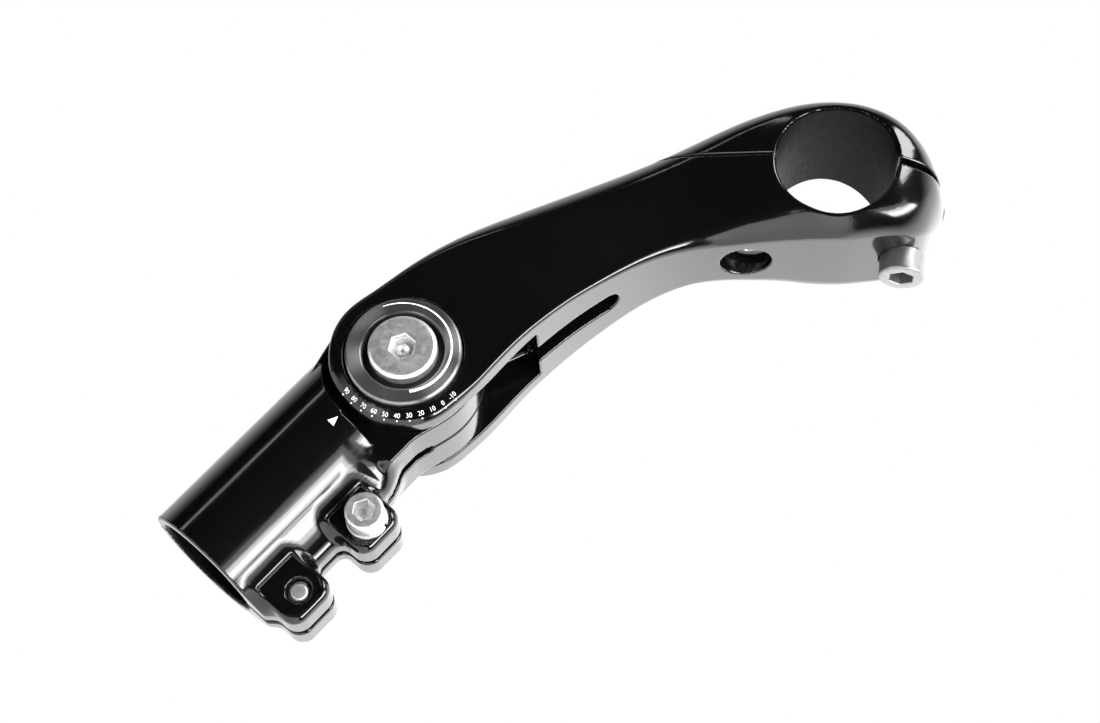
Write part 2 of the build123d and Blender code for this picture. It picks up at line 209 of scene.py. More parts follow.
def skin(name, distance, low, high, cell, materials, in_bore, to_world=unmoved):
    """Closed mesh where a distance is 0: one point in each cell of a grid that the surface
    crosses, moved onto the surface, and a face round each edge of the grid that crosses it."""
    axes = [np.arange(low[k], high[k] + cell, cell) for k in range(3)]
    value = distance(axes[0][:, None, None], axes[1][None, :, None], axes[2][None, None, :])
    inside = value < 0
    size = [n - 1 for n in inside.shape]
    corners = [(i, j, k) for i in (0, 1) for j in (0, 1) for k in (0, 1)]
    count = sum(inside[i:i + size[0], j:j + size[1], k:k + size[2]].astype(np.int8) for i, j, k in corners)
    crossed = (count > 0) & (count < 8)
    number = np.full(crossed.shape, -1)
    number[crossed] = np.arange(crossed.sum())
    cells = np.argwhere(crossed)
    total = np.zeros((len(cells), 3))
    hits = np.zeros(len(cells))
    for start in corners:
        for axis in range(3):
            if start[axis]:
                continue
            end = tuple(1 if k == axis else start[k] for k in range(3))
            at_start = value[tuple((cells + start).T)]
            at_end = value[tuple((cells + end).T)]
            hit = (at_start < 0) != (at_end < 0)
            share = np.where(hit, at_start / np.where(hit, at_start - at_end, 1), 0)
            total[hit] += (np.array(start) + (np.array(end) - start) * share[:, None])[hit]
            hits += hit
    points = np.array(low) + (cells + total / hits[:, None]) * cell
    for _ in range(4):
        steepest = slope(distance, points, 0.02)
        steep = np.maximum((steepest ** 2).sum(1), 0.05)
        points += steepest * np.clip(-distance(*points.T) / steep, -cell, cell)[:, None]
    faces = []
    for axis in range(3):
        b, c = (axis + 1) % 3, (axis + 2) % 3
        lower, upper = [slice(1, -1)] * 3, [slice(1, -1)] * 3
        lower[axis], upper[axis] = slice(None, -1), slice(1, None)
        crossing = inside[tuple(lower)] != inside[tuple(upper)]
        outward = inside[tuple(lower)][crossing]
        at = np.argwhere(crossing)
        at[:, b] += 1
        at[:, c] += 1
        ring = []
        for back_b, back_c in ((1, 1), (0, 1), (0, 0), (1, 0)):
            cell_at = at.copy()
            cell_at[:, b] -= back_b
            cell_at[:, c] -= back_c
            ring.append(number[tuple(cell_at.T)])
        ring = np.stack(ring, 1)
        ring[~outward] = ring[~outward][:, ::-1]
        faces.append(ring)
    faces = np.concatenate(faces)
    normals = slope(distance, points, 0.05)
    normals /= np.maximum(np.linalg.norm(normals, axis=1), 1e-6)[:, None]
    bored = in_bore(*points[faces].mean(1).T)
    normals = to_world(normals) - to_world(np.zeros((1, 3)))
    mesh = bpy.data.meshes.new(name)
    mesh.from_pydata((to_world(points) * 0.001).tolist(), [], faces.tolist())
    mesh.shade_smooth()
    mesh.normals_split_custom_set_from_vertices(normals.tolist())
    for material in materials:
        mesh.materials.append(material)
    mesh.polygons.foreach_set("material_index", bored.astype(np.int32))
    piece = bpy.data.objects.new(name, mesh)
    bpy.context.scene.collection.objects.link(piece)
    return piece


# Aluminium polished and then black anodised: a deep black mirror. The polishing mop's lines run
# along Z and comb out the edges of each highlight. They are drawn 0.3 mm apart, coarser than
# they are, so that they show.
def polished_black(name, turn):
    """The black. The turn picks another pattern of lines; they run along Z whatever it is."""
    made, tree, place = finish(name)
    along = add(tree, "ShaderNodeMapping", {"Vector": place}, Rotation=(0, turn, 0), Scale=(1.0, 1.0, 0.05))
    combing = {"Vector": along.outputs[0]}
    lines = add(tree, "ShaderNodeTexNoise", combing, Scale=900.0, Detail=3.0, Roughness=0.55)
    waves = add(tree, "ShaderNodeTexNoise", {"Vector": place}, Scale=90.0, Detail=2.0)
    haze = add(tree, "ShaderNodeMapRange", {"Value": waves.outputs["Fac"]}, To_Min=0.08, To_Max=0.17)
    combed = add(tree, "ShaderNodeBump", {"Height": lines.outputs["Fac"]}, Strength=0.5, Distance=0.00004)
    links = {"Normal": combed.outputs[0], "Roughness": haze.outputs[0]}
    shade(tree, links, Base_Color=linear("#070708"), IOR=1.52)
    return made


# The same black inside the bores, where it was only turned: dull, with the tool's fine rings.
# Its black is deeper and its reflection weak, as painted shade in the bores, the slit, the bolt
# holes, the rear pocket and the rings' seats.
turned_black_painted_shade, tree, place = finish("turned_black_anodised_aluminium")
waves = add(tree, "ShaderNodeTexNoise", {"Vector": place}, Scale=500.0, Detail=3.0)
dull = add(tree, "ShaderNodeMapRange", {"Value": waves.outputs["Fac"]}, To_Min=0.42, To_Max=0.6)
rings = add(tree, "ShaderNodeTexWave", {"Vector": place}, bands_direction="Z", Scale=180.0, Distortion=1.0)
cuts = add(tree, "ShaderNodeBump", {"Height": rings.outputs["Fac"]}, Strength=0.5, Distance=0.00006)
links = {"Roughness": dull.outputs[0], "Normal": cuts.outputs[0]}
# The deeper black and the low specular level are painted shade.
shade(tree, links, Base_Color=linear("#030304"), IOR=1.45, Specular_IOR_Level=0.06)

tube_black = polished_black("polished_black_anodised_aluminium", 0.0)
pivot = Vector((3.5, 0, 71.5))
tube_radius = 17.75
tube_length = 57.0
steerer_radius = 14.3
bore_top = 44.0
shoulder_height = 49.4
knuckle_radius = 19.3
knuckle_half = 11.85
swing_radius = 21.6
bolt_heights = (10.0, 34.5)
bolt_x = 24.9


def steerer_clamp(x, y, z):
    """Distance to the steerer clamp's forging."""
    from_axis = np.hypot(x, y)
    from_pivot = np.hypot(x - pivot.x, z - pivot.z)
    side = np.abs(y)
    # The tube, cut away beside the knuckle where the arm's ears swing past.
    tube = common(from_axis - tube_radius, np.abs(z - tube_length / 2) - tube_length / 2, 0.7)
    shoulders = np.minimum(from_pivot - swing_radius, np.maximum(shoulder_height - z, 2.5 - x))
    tube = cut(tube, common(shoulders, knuckle_half - side, 0.5), 0.5)
    # The knuckle and its neck, and the root that leads the neck into the tube.
    column = block(x - 2.05, z - 60.0, 17.55, 11.5, 1.0)
    column = common(column, np.hypot(np.minimum(x, 0), y) - 17.2, 2.5)
    knuckle = join(from_pivot - knuckle_radius, column, 3.0 + 6.0 * ease(x, 8.0, -4.0))
    neck = common(knuckle, side - knuckle_half, 0.7)
    shrunk = 5.5 * ease(z, 49.5, 33.0)
    corner = 5.0 - 4.0 * ease(z, 45.0, shoulder_height)
    root = block(x - 5.0, y, 14.6 - shrunk, knuckle_half - shrunk, corner)
    root = common(root, z - 50.0, 0.5)
    body = join(join(tube, root, 5.0 * ease(z, 50.0, 44.0) + 0.4), neck, 0.4)
    # The flange at the front of the tube, and the bolts' ears with a flat pad sunk in each.
    flange = block(x - 9.5, z - 23.5, 13.0 - 1.2 * ease(z, 41, 48), 23.5, 2.5)
    body = join(body, common(flange, side - 6.7, 2.6), 6.0)
    for height in bolt_heights:
        ear = common(block(x - 18.4, z - height + 0.5, 12.9, 7.3, 4.2), side - 9.3, 2.2)
        body = join(body, ear, 3.0)
    for height in bolt_heights:
        pad = common(block(x - 20.0, z - height + 0.5, 9.9, 6.2, 4.6), 17.0 - x, 0.6)
        body = cut(body, common(pad, 8.7 - side, 0.3), 0.5)
    # The steerer's bore, chamfered at its mouth, and the slit that lets the tube close on it.
    body = common(body, -z, 0.4)
    chamfered = steerer_radius + np.maximum(0.9 - z, 0)
    body = cut(body, common(from_axis - chamfered, z - bore_top, 1.0), 0.25)
    slit_half = 1.0 + 0.8 * ease(z, 44.0, 50.0)
    slit = np.maximum(common(side - slit_half, z - 62.0, 1.7), -x)
    slit = np.where(z > bore_top - 2, np.maximum(slit, 9.0 - x), slit)
    body = cut(body, slit, 0.4)
    # The bolts' holes: clear on the head's side, tapped and countersunk on the other.
    for height, head_side in zip(bolt_heights, (1.0, -1.0)):
        from_bolt = np.hypot(x - bolt_x, z - height)
        countersink = 0.35 * np.maximum(side - 7.8, 0) * (y * head_side < 0)
        body = cut(body, from_bolt - np.where(y * head_side > 0, 3.35, 3.1) - countersink, 0.15)
    # The sleeve's hole, the toothed rings' recesses and the seals' grooves.
    body = np.maximum(body, 6.55 - from_pivot)
    recess = np.maximum(from_pivot - 13.45, 8.45 - side)
    groove = np.maximum(np.abs(from_pivot - 16.25) - 0.8, 10.3 - side)
    return np.maximum(body, -np.minimum(recess, groove))


def in_steerer_bore(x, y, z):
    """Where the clamp is dull and darkened as painted shade: its bore, and all within 0.9 mm of its middle
    plane, for the slit.
    """
    return (np.hypot(x, y) < 15.0) & (z < 45) | (np.abs(y) < 0.9)


clamp = skin(
    "steerer_clamp_forging", steerer_clamp, (-19, -19, -1.5), (33.5, 19, 92.5), 0.54,
    [tube_black, turned_black_painted_shade], in_steerer_bore,
)
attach(clamp, "steerer_clamp")
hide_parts("steerer_clamp")


# ---- Pointer ----
# A small white triangle printed on the tube below the pivot, which the scale is read against.
# White ink: matt, very slightly uneven in tone, with a painted glow, a little light of its own
# that keeps it white because the room in front of it is dark.
ink_with_painted_glow, tree, place = finish("white_printing_ink")
patchy = add(tree, "ShaderNodeTexNoise", {"Vector": place}, Scale=1500.0, Detail=3.0)
tone = add(tree, "ShaderNodeMix", {"Factor": patchy.outputs["Fac"]}, data_type="RGBA")
tone.inputs[6].default_value, tone.inputs[7].default_value = linear("#e6e6e4"), linear("#fbfbfa")
links = {"Base Color": tone.outputs[2], "Emission Color": tone.outputs[2]}
# The emission is a painted glow: the ink itself gives no light.
shade(tree, links, Roughness=0.55, Emission_Strength=0.75)


def laid(name, points, faces, material, body):
    """Mesh from points in millimetres in the stem's frame, riding on a body."""
    mesh = bpy.data.meshes.new(name)
    mesh.from_pydata((np.asarray(points, float) * 0.001).tolist(), [], faces)
    mesh.materials.append(material)
    piece = bpy.data.objects.new(name, mesh)
    bpy.context.scene.collection.objects.link(piece)
    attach(piece, body)
    return piece


# The triangle is cut into rows of small ones, so that it follows the tube's round face.
corners = np.array([(1.7, 45.5), (2.9, 48.0), (3.8, 45.4)])
rows = []
steps = 6
for i in range(steps + 1):
    for j in range(steps + 1 - i):
        x, z = corners[0] + (corners[1] - corners[0]) * i / steps + (corners[2] - corners[0]) * j / steps
        rows.append((x, -math.sqrt((tube_radius + 0.02) ** 2 - x * x), z))
starts = [sum(steps + 1 - k for k in range(i)) for i in range(steps + 2)]
faces = []
for i in range(steps):
    for j in range(steps - i):
        a = starts[i] + j
        b = starts[i + 1] + j
        faces.append((a, a + 1, b))
        if j < steps - i - 1:
            faces.append((a + 1, b + 1, b))
laid("pointer_triangle", rows, faces, ink_with_painted_glow, "steerer_clamp")


# ---- Clamp bolts and spring washers ----
# Two M6 socket head cap screws in zinc plated steel, each on a split spring washer. The upper one
# goes in from the right side and the lower one from the left. Heads, shanks and rings are turned:
# a profile of radius and height carried round an axis, with a hexagon for the key's socket.
def profile(*corners):
    """Points round a turned piece's section: each corner is (radius, height, rounding, hexagonal)."""
    line = []
    for i, (r, h, rounding, hexagonal) in enumerate(corners):
        here = np.array((r, h), float)
        if not rounding:
            line.append((r, h, hexagonal))
            continue
        before = np.array(corners[i - 1][:2], float) - here
        after = np.array(corners[(i + 1) % len(corners)][:2], float) - here
        a = here + before / np.linalg.norm(before) * rounding
        b = here + after / np.linalg.norm(after) * rounding
        for t in (0, 0.2, 0.4, 0.6, 0.8, 1):
            r_at, h_at = a * (1 - t) ** 2 + here * 2 * t * (1 - t) + b * t ** 2
            line.append((r_at, h_at, hexagonal))
    return line


def turned(name, line, place, material, closed=False, count=96, teeth=None):
    """Mesh of a profile carried round the Z axis and then put in its place."""
    turn = np.arange(count) * 2 * math.pi / count
    flats = 1 / np.cos((turn + math.pi / 6) % (math.pi / 3) - math.pi / 6)
    points, faces = [], []
    for r, h, hexagonal in line:
        radius = r * (flats if hexagonal else np.ones(count))
        height = np.full(count, h, float)
        if teeth is not None:
            height += teeth(turn, r, h)
        points.append(np.stack([radius * np.cos(turn), radius * np.sin(turn), height], 1))
    last = len(line) if closed else len(line) - 1
    for i in range(last):
        a, b = i * count, (i + 1) % len(line) * count
        faces += [(a + j, a + (j + 1) % count, b + (j + 1) % count, b + j) for j in range(count)]
    mesh = bpy.data.meshes.new(name)
    mesh.from_pydata((np.concatenate(points) * 0.001).tolist(), [], faces)
    made = bmesh.new()
    made.from_mesh(mesh)
    bmesh.ops.remove_doubles(made, verts=made.verts, dist=1e-7)
    bmesh.ops.recalc_face_normals(made, faces=made.faces)
    made.to_mesh(mesh)
    made.free()
    mesh.transform(place)
    mesh.shade_smooth()
    mesh.set_sharp_from_angle(angle=math.radians(32))
    mesh.materials.append(material)
    piece = bpy.data.objects.new(name, mesh)
    bpy.context.scene.collection.objects.link(piece)
    return piece


def facing(origin, direction):
    """Place whose Z points in a direction, for an origin in millimetres."""
    turned_to = Vector(direction).to_track_quat("Z", "X").to_matrix().to_4x4()
    return Matrix.Translation(Vector(origin) * 0.001) @ turned_to


# Zinc plated steel: bright but mottled, from the plating's crystals and handling, with a fine
# tumbled grain of about 0.3 mm.
def zinc_plate(name, darkest, lightest):
    """Zinc plating mottled between two greys."""
    made, tree, place = finish(name)
    mottle = add(tree, "ShaderNodeTexNoise", {"Vector": place}, Scale=700.0, Detail=5.0, Roughness=0.65)
    tone = add(tree, "ShaderNodeMix", {"Factor": mottle.outputs["Fac"]}, data_type="RGBA")
    tone.inputs[6].default_value, tone.inputs[7].default_value = linear(darkest), linear(lightest)
    worn = add(tree, "ShaderNodeMapRange", {"Value": mottle.outputs["Fac"]}, To_Min=0.34, To_Max=0.58)
    pits = add(tree, "ShaderNodeTexNoise", {"Vector": place}, Scale=3000.0, Detail=2.0)
    grain = add(tree, "ShaderNodeBump", {"Height": pits.outputs["Fac"]}, Strength=0.35, Distance=0.00003)
    links = {"Base Color": tone.outputs[2], "Roughness": worn.outputs[0], "Normal": grain.outputs[0]}
    shade(tree, links, Metallic=1.0)
    return made


zinc = zinc_plate("zinc_plated_steel", "#b0b0b0", "#fafafa")


def socket_head(head, height, shank, length, key):
    """Profile of a socket head screw: its seat at height 0, the head above and the shank below."""
    floor = 0.42 * height
    return profile(
        (0, -length, 0, 0), (shank - 0.7, -length, 0.3, 0), (shank, -length + 0.8, 0.2, 0),
        (shank, -0.01, 0, 0), (head - 0.25, 0, 0, 0), (head, 0.3, 0.15, 0), (head, height, 0.85, 0),
        (key * 0.5 + 0.9, height, 0, 0), (key * 0.5 + 0.2, height, 0, 1), (key * 0.5, height - 0.25, 0, 1),
        (key * 0.5, floor, 0, 1), (key * 0.3, floor - 0.1, 0, 0), (0, floor - 0.9, 0, 0),
    )


# The thread is a ridge wound along the shank in Geometry Nodes.
threads = bpy.data.node_groups.new("rolled_thread", "GeometryNodeTree")
threads.interface.new_socket("Geometry", in_out="OUTPUT", socket_type="NodeSocketGeometry")
for label, value in (("Turns", 10.0), ("Radius", 0.003), ("Length", 0.01), ("Ridge", 0.0003)):
    threads.interface.new_socket(label, in_out="INPUT", socket_type="NodeSocketFloat").default_value = value
asked = add(threads, "NodeGroupInput")
links = {"Rotations": asked.outputs["Turns"], "Height": asked.outputs["Length"]}
links.update({"Start Radius": asked.outputs["Radius"], "End Radius": asked.outputs["Radius"]})
helix = add(threads, "GeometryNodeCurveSpiral", links, Resolution=32)
ridge = add(threads, "GeometryNodeCurvePrimitiveCircle", {"Radius": asked.outputs["Ridge"]}, Resolution=4)
links = {"Curve": helix.outputs[0], "Profile Curve": ridge.outputs[0]}
wound = add(threads, "GeometryNodeCurveToMesh", links)
wound.inputs["Fill Caps"].default_value = True
real = add(threads, "GeometryNodeRealizeInstances", {0: wound.outputs[0]})
coated = add(threads, "GeometryNodeSetMaterial", {"Geometry": real.outputs[0]}, Material=zinc)
add(threads, "NodeGroupOutput", {0: coated.outputs[0]})


def from_nodes(name, tree, values, place):
    """Plain mesh of what a Geometry Nodes tree makes with these values, put in its place."""
    carrier = bpy.data.objects.new(name + "_carrier", bpy.data.meshes.new(name + "_carrier"))
    bpy.context.scene.collection.objects.link(carrier)
    modifier = carrier.modifiers.new("made", "NODES")
    modifier.node_group = tree
    for item in tree.interface.items_tree:
        if item.in_out == "INPUT" and item.name in values:
            modifier[item.identifier] = values[item.name]
    ready = carrier.evaluated_get(bpy.context.evaluated_depsgraph_get())
    mesh = bpy.data.meshes.new_from_object(ready)
    bpy.data.objects.remove(carrier)
    mesh.name = name
    mesh.transform(place)
    mesh.shade_smooth()
    piece = bpy.data.objects.new(name, mesh)
    bpy.context.scene.collection.objects.link(piece)
    return piece


def screw(name, node, body, place, metal, head, height, shank, length, key, threaded, pitch=1.0):
    """A screw and its thread, standing for a node of the frame."""
    blank = turned(name, socket_head(head, height, shank - 0.35, length, key), place, metal)
    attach(blank, body)
    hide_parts(node)
    values = {"Turns": threaded / pitch, "Length": threaded * 0.001}
    values.update({"Radius": (shank - 0.38) * 0.001, "Ridge": 0.00036})
    low = Matrix.Translation((0, 0, (0.9 - length) * 0.001))
    thread = from_nodes(name + "_thread", threads, values, place @ low)
    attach(thread, body)


for name, height, side in zip(("lower", "upper"), bolt_heights, (1, -1)):
    seat = facing((bolt_x, side * 10.1, height), (0, side, 0))
    screw(
        "clamp_screw_" + name, "clamp_bolt_" + name, "steerer_clamp", seat, zinc,
        head=5.0, height=6.0, shank=3.0, length=18.0, key=5.0, threaded=13.5,
    )
    # The spring washer is a ring cut through once, its ends a little apart and out of line.
    under = facing((bolt_x, side * 8.7, height), (0, side, 0))
    section = profile((5.3, 0.05, 0.2, 0), (5.3, 1.38, 0.25, 0), (3.15, 1.38, 0.2, 0), (3.15, 0.05, 0.2, 0))
    steps = 80
    gap = 0.09
    turn = np.linspace(gap, 2 * math.pi - gap, steps) + 5.1
    rise = np.linspace(-0.03, 0.03, steps)
    wide = len(section)
    points = []
    for a, up in zip(turn, rise):
        for r, h, _ in section:
            spot = Vector((r * math.cos(a) * 0.001, r * math.sin(a) * 0.001, (h + up) * 0.001))
            points.append(under @ spot * 1000)
    faces = []
    for i in range(0, (steps - 1) * wide, wide):
        for j in range(wide):
            after = (j + 1) % wide
            faces.append((i + j, i + after, i + wide + after, i + wide + j))
    faces += [tuple(range(wide))[::-1], tuple((steps - 1) * wide + j for j in range(wide))]
    washer = laid("spring_washer_" + name, points, faces, zinc, "steerer_clamp")
    made = bmesh.new()
    made.from_mesh(washer.data)
    bmesh.ops.recalc_face_normals(made, faces=made.faces)
    made.to_mesh(washer.data)
    made.free()
    washer.data.shade_smooth()
    washer.data.set_sharp_from_angle(angle=math.radians(35))
    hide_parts("clamp_washer_" + name)


# ---- Inside the knuckle ----
# A brass sleeve round the pivot bolt, two toothed rings pressed into the knuckle, and a rubber
# seal in a groove on each side; black washers lie under the pivot bolt's head and the nut. Turned
# brass shows its tool rings, moulded rubber is dull, and blackened steel has a faint oily gloss.
brass, tree, place = finish("turned_brass")
rings = add(tree, "ShaderNodeTexWave", {"Vector": place}, bands_direction="Y", Scale=500.0, Distortion=0.5)
tone = add(tree, "ShaderNodeMix", {"Factor": rings.outputs["Fac"]}, data_type="RGBA")
tone.inputs[6].default_value, tone.inputs[7].default_value = linear("#b08d4a"), linear("#d8b56c")
cuts = add(tree, "ShaderNodeBump", {"Height": rings.outputs["Fac"]}, Strength=0.3, Distance=0.00003)
shade(tree, {"Base Color": tone.outputs[2], "Normal": cuts.outputs[0]}, Metallic=1.0, Roughness=0.3)

rubber, tree, place = finish("moulded_nitrile_rubber")
bloom = add(tree, "ShaderNodeTexNoise", {"Vector": place}, Scale=900.0, Detail=4.0)
tone = add(tree, "ShaderNodeMix", {"Factor": bloom.outputs["Fac"]}, data_type="RGBA")
tone.inputs[6].default_value, tone.inputs[7].default_value = linear("#141414"), linear("#232322")
skinned = add(tree, "ShaderNodeBump", {"Height": bloom.outputs["Fac"]}, Strength=0.3, Distance=0.00004)
shade(tree, {"Base Color": tone.outputs[2], "Normal": skinned.outputs[0]}, Roughness=0.65)

black_steel, tree, place = finish("black_oxide_steel")
mottle = add(tree, "ShaderNodeTexNoise", {"Vector": place}, Scale=600.0, Detail=4.0)
tone = add(tree, "ShaderNodeMix", {"Factor": mottle.outputs["Fac"]}, data_type="RGBA")
tone.inputs[6].default_value, tone.inputs[7].default_value = linear("#1b1b1d"), linear("#2f2f31")
worn = add(tree, "ShaderNodeMapRange", {"Value": mottle.outputs["Fac"]}, To_Min=0.3, To_Max=0.48)
shade(tree, {"Base Color": tone.outputs[2], "Roughness": worn.outputs[0]}, Metallic=0.85)

kinds = {"pivot_sleeve": brass, "dust_seal": rubber, "knuckle_ring": black_steel, "pivot_washer": black_steel}
for name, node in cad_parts.items():
    material = kinds.get(name.replace("_near", "").replace("_far", ""))
    if material:
        node.material_slots[0].material = material


# ---- Arm ----
# One forging from the pivot to the handlebar: two ears astride the knuckle, a curved beam that is
# rounded on its back and flat below, and the lower half of the bar clamp. Its own frame has the
# pivot at the origin and the handlebar straight above it.
lean = math.radians(22.5)
reach = 125.5
split = math.radians(33.6)
bend_radius = 143.0
bend_across = 129.5
bend_along = 66.0
bar_radius = 15.9
bar_bolt_forward = 20.8


def arm_to_world(points):
    """From across, side and along the arm to the stem's frame, in millimetres."""
    across, side, along = points.T
    x = pivot.x + along * math.sin(lean) + across * math.cos(lean)
    z = pivot.z + along * math.cos(lean) - across * math.sin(lean)
    return np.stack([x, side, z], 1)


def fair_curve(stations, values):
    """Smooth curve through given values, level beyond its ends."""
    s, v = np.array(stations, float), np.array(values, float)
    gap = np.diff(s)
    n = len(s)
    matrix, right = np.eye(n), np.zeros(n)
    for i in range(1, n - 1):
        matrix[i, i - 1:i + 2] = gap[i - 1], 2 * (gap[i - 1] + gap[i]), gap[i]
        right[i] = 6 * ((v[i + 1] - v[i]) / gap[i] - (v[i] - v[i - 1]) / gap[i - 1])
    bend = np.linalg.solve(matrix, right)

    def curve(at):
        at = np.clip(at, s[0], s[-1])
        i = np.clip(np.searchsorted(s, at) - 1, 0, n - 2)
        h = gap[i]
        a, b = (s[i + 1] - at) / h, (at - s[i]) / h
        return a * v[i] + b * v[i + 1] + ((a ** 3 - a) * bend[i] + (b ** 3 - b) * bend[i + 1]) * h * h / 6

    return curve


# The arm's outline seen from the side, as points across and along it: round the pivot, up the
# back, over the cap, round the nose and down the belly.
outline = np.array([
    (19.6, 0), (18.1, -7.5), (13.9, -13.9), (7.5, -18.1), (0, -19.6), (-7.5, -18.1), (-13.9, -13.9),
    (-18.1, -7.5), (-20.0, 0), (-22.1, 8), (-24.0, 15), (-26.0, 24), (-27.3, 33), (-28.2, 45), (-28.6, 58),
    (-28.5, 72), (-28.1, 85), (-27.4, 98), (-26.2, 110), (-24.0, 122), (-20.4, 132.3), (-13.5, 141.6),
    (-6.8, 146.0), (0.9, 149.1), (9.0, 150.8), (15.5, 151.1), (19.9, 149.5), (23.4, 144.5), (25.2, 139.5),
    (25.2, 134.0), (22.9, 127.8), (20.4, 121.0), (17.6, 115.0), (13.0, 106.5), (9.2, 98.5), (6.0, 91.0),
    (3.2, 83), (1.7, 74), (1.7, 65), (2.9, 55), (4.4, 46.5), (6.7, 37.5), (9.3, 29.5), (12.4, 22),
    (15.4, 15), (18.0, 7.5),
])
lap = 6
wrapped = np.concatenate([outline[-lap:], outline, outline[:lap + 1]])
run = np.concatenate([[0], np.cumsum(np.hypot(*np.diff(wrapped, axis=0).T))])
around = np.linspace(run[lap], run[lap + len(outline)], 900)[:-1]
rim = np.stack([fair_curve(run, wrapped[:, 0])(around), fair_curve(run, wrapped[:, 1])(around)], 1)

# Distance to that outline, worked out once on a fine table and read back smoothly.
table_step = 0.5
table_low = np.array((-44.0, -34.0))
table_size = (170, 410)
table_across = table_low[0] + table_step * np.arange(table_size[0])
table_along = table_low[1] + table_step * np.arange(table_size[1])
spot = np.stack(np.meshgrid(table_across, table_along, indexing="ij"), -1).reshape(-1, 2)
nearest = np.full(len(spot), 1e9)
crossings = np.zeros(len(spot), int)
for a, b in zip(rim, np.roll(rim, -1, axis=0)):
    edge_way = b - a
    t = np.clip(((spot - a) @ edge_way) / (edge_way @ edge_way), 0, 1)
    nearest = np.minimum(nearest, np.hypot(*(spot - a - t[:, None] * edge_way).T))
    level = (spot[:, 1] >= min(a[1], b[1])) & (spot[:, 1] < max(a[1], b[1]))
    if level.any():
        crossings[level] += spot[level, 0] < a[0] + (spot[level, 1] - a[1]) * edge_way[0] / edge_way[1]
table = np.where(crossings % 2 == 1, -nearest, nearest).reshape(table_size)


def side_outline(across, along):
    """Distance to the arm's outline seen from the side."""
    u = np.clip((across - table_low[0]) / table_step, 1, table_size[0] - 2.01)
    v = np.clip((along - table_low[1]) / table_step, 1, table_size[1] - 2.01)
    u, v = np.broadcast_arrays(u, v)
    i, j = u.astype(int), v.astype(int)
    s, t = u - i, v - j
    weights = []
    for f in (s, t):
        first = (1 - f) ** 3 / 6
        second = (3 * f ** 3 - 6 * f * f + 4) / 6
        third = (-3 * f ** 3 + 3 * f * f + 3 * f + 1) / 6
        weights.append((first, second, third, f ** 3 / 6))
    total = 0
    for m in range(4):
        for n in range(4):
            total = total + weights[0][m] * weights[1][n] * table[i + m - 1, j + n - 1]
    return total


def along_bend(across, along):
    """Place along the arm's curved middle line, and height from it towards the belly."""
    sideways, up = bend_across - across, along - bend_along
    return bend_radius * np.arctan2(up, sideways), bend_radius - np.hypot(sideways, up)


# How wide, how rounded and how tapered the arm is, by the place along its middle line in
# millimetres from the middle of the bend: the pivot is near -66 and the nose near 90.
half_width = fair_curve(
    [-80, -66, -50, -33, -19, -5, 8, 18, 28, 37, 46, 54, 62, 70, 77, 84, 89, 92.5],
    [19, 19, 18.6, 17.5, 16, 14.3, 13.2, 13.1, 14.6, 17, 19.3, 21.2, 22, 22, 21.2, 18.2, 13.6, 8],
)
back_round = fair_curve([-70, -50, -25, 0, 30, 60, 90], [1.6, 2.2, 7.5, 10.0, 8.5, 4.8, 4.5])
belly_round = fair_curve([-70, -50, 0, 20, 35, 60, 90], [1.2, 1.2, 1.8, 3.6, 5.5, 7.0, 5.0])
back_taper = fair_curve([-70, -10, 20, 40, 60, 95], [0.0, 0.8, 1.5, 3.6, 6.0, 5.0])
belly_taper = fair_curve([-70, -10, 18, 30, 45, 60, 95], [0.0, 0.2, 0.8, 1.6, 2.8, 3.6, 3.4])


def across_split(across, along):
    """Distances forward of the bar's axis along the split plane, and above that plane."""
    up = along - reach
    return across * math.sin(split) + up * math.cos(split), -across * math.cos(split) + up * math.sin(split)


def whole_arm(across, side, along):
    """Distance to the arm and its cap together, before anything is cut."""
    from_pivot = np.hypot(across, along)
    place, height = along_bend(across, along)
    forward, up = across_split(across, along)
    place = place + (61.6 + forward - place) * ease(place, 45, 70)
    # The flanks draw in towards the back and the belly, and on the right side the ear's rim
    # slopes where the angle scale is printed.
    rise = np.clip((-height - 3) / 19, 0, 1.3) ** 2
    fall = np.clip((height - 3) / 19, 0, 1.3) ** 2
    width = half_width(place) - back_taper(place) * rise - belly_taper(place) * fall
    sloped = np.where(side < 0, 0.42, 0.0) * ease(along, 19, 5) * ease(across, -17, -4)
    width = width - sloped * np.clip(from_pivot - 15.7, 0, 6)
    steep = half_width(place + 0.5) - half_width(place - 0.5)
    flank = (np.abs(side) - width) / np.sqrt(1 + steep ** 2)
    towards_back = ease(height, 7.0, -7.0)
    edge = belly_round(place) * (1 - towards_back) + back_round(place) * towards_back
    return common(side_outline(across, along), flank, edge)


def bar_bore(across, along):
    """Distance outwards from the handlebar's bore."""
    return np.hypot(across, along - reach) - bar_radius


def arm(across, side, along):
    """Distance to the arm's forging, up to the split plane."""
    body = whole_arm(across, side, along)
    forward, up = across_split(across, along)
    from_pivot = np.hypot(across, along)
    y = np.abs(side)
    body = common(body, up, 0.4)
    widened = np.maximum(y - 17.5, 0) * 0.06
    body = cut(body, bar_bore(across, along) - widened, 1.1)
    # The fork's room for the knuckle, the narrow slot in the belly and the rings' seats.
    fork_room = np.minimum(from_pivot - 20.4, block(across - 20.7, along - 16.75, 20.3, 16.75, 1.0))
    body = cut(body, common(fork_room, y - 12.15, 0.3), 0.6)
    slot = block(along - 40.0, y, 20.0, 4.0, 4.0)
    body = cut(body, np.maximum(slot, -8.0 - across), 0.6)
    body = cut(body, np.maximum(from_pivot - 15.5, 15.95 - y), 0.4)
    body = np.maximum(body, 13.5 - from_pivot)
    # The bar bolts' holes, and the pockets for their heads.
    for at, seat, pocket_radius in ((bar_bolt_forward, 15.9, 6.3), (-bar_bolt_forward, 10.8, 6.75)):
        from_bolt = np.hypot(forward - at, side)
        body = cut(body, common(from_bolt - pocket_radius, up + seat, 0.3), 0.5)
        body = np.maximum(body, 3.65 - from_bolt)
    return body


